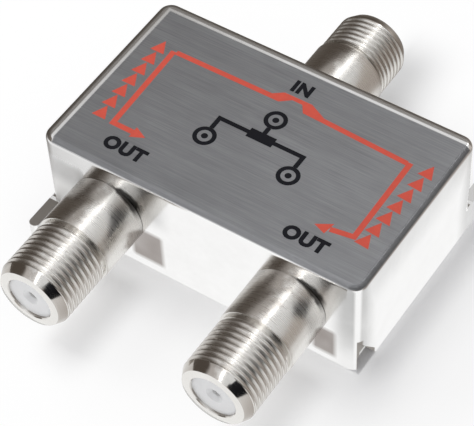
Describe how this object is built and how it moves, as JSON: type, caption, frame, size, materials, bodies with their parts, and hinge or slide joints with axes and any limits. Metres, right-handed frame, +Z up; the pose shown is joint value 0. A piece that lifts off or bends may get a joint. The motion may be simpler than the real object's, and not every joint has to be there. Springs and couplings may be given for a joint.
{
  "type": "coaxial splitter",
  "caption": "Two-way coaxial splitter: plated box with a brushed printed top, an F socket at the back, a pair at the front and slotted fixing ears.",
  "frame": {"origin": "middle of the box's flat underside", "axes": "+Z up through the printed face, +Y out of the input socket, -Y out of the two outputs, +X along the box"},
  "size_m": [0.044, 0.056, 0.0155],
  "materials": {
    "nickel_casting": "bright nickel plate on a zinc casting, top face brushed to satin grey",
    "nickel_brass": "bright nickel plate on turned brass",
    "tinplate": "dull tinned sheet",
    "solder": "bright solder",
    "white_insulator": "natural white plastic",
    "contact_bronze": "bare spring bronze",
    "board_laminate": "green glass-fibre board",
    "track_copper": "tinned copper foil",
    "resistor_coat": "tan lacquer",
    "choke_moulding": "green moulded case",
    "diode_moulding": "black moulded case",
    "capacitor_coat": "ochre dipped coat",
    "tinned_wire": "tinned copper wire",
    "ferrite": "sintered ferrite",
    "enamelled_wire": "red-brown enamel on copper"
  },
  "bodies": {
    "root": {"housing": "nickel_casting", "back_cover": "tinplate", "cover_solder": "solder", "in_port_barrel": "nickel_brass", "in_port_front_insulator": "white_insulator", "in_port_rear_insulator": "white_insulator", "in_port_contact": "contact_bronze", "out_port_left_barrel": "nickel_brass", "out_port_left_front_insulator": "white_insulator", "out_port_left_rear_insulator": "white_insulator", "out_port_left_contact": "contact_bronze", "out_port_right_barrel": "nickel_brass", "out_port_right_front_insulator": "white_insulator", "out_port_right_rear_insulator": "white_insulator", "out_port_right_contact": "contact_bronze", "circuit_board": "board_laminate", "circuit_tracks": "track_copper", "ground_solder_joints": "solder", "contact_solder_joints": "solder", "lead_solder_joints": "solder", "isolation_resistor_body": "resistor_coat", "isolation_resistor_leads": "tinned_wire", "input_choke_body": "choke_moulding", "input_choke_leads": "tinned_wire", "left_choke_body": "choke_moulding", "left_choke_leads": "tinned_wire", "right_choke_body": "choke_moulding", "right_choke_leads": "tinned_wire", "left_pass_diode_body": "diode_moulding", "left_pass_diode_leads": "tinned_wire", "right_pass_diode_body": "diode_moulding", "right_pass_diode_leads": "tinned_wire", "input_capacitor_body": "capacitor_coat", "input_capacitor_leads": "tinned_wire", "left_output_capacitor_body": "capacitor_coat", "left_output_capacitor_leads": "tinned_wire", "right_output_capacitor_body": "capacitor_coat", "right_output_capacitor_leads": "tinned_wire", "matching_transformer_core": "ferrite", "matching_transformer_winding": "enamelled_wire", "splitting_transformer_core": "ferrite", "splitting_transformer_winding": "enamelled_wire"}
  },
  "joints": []
}
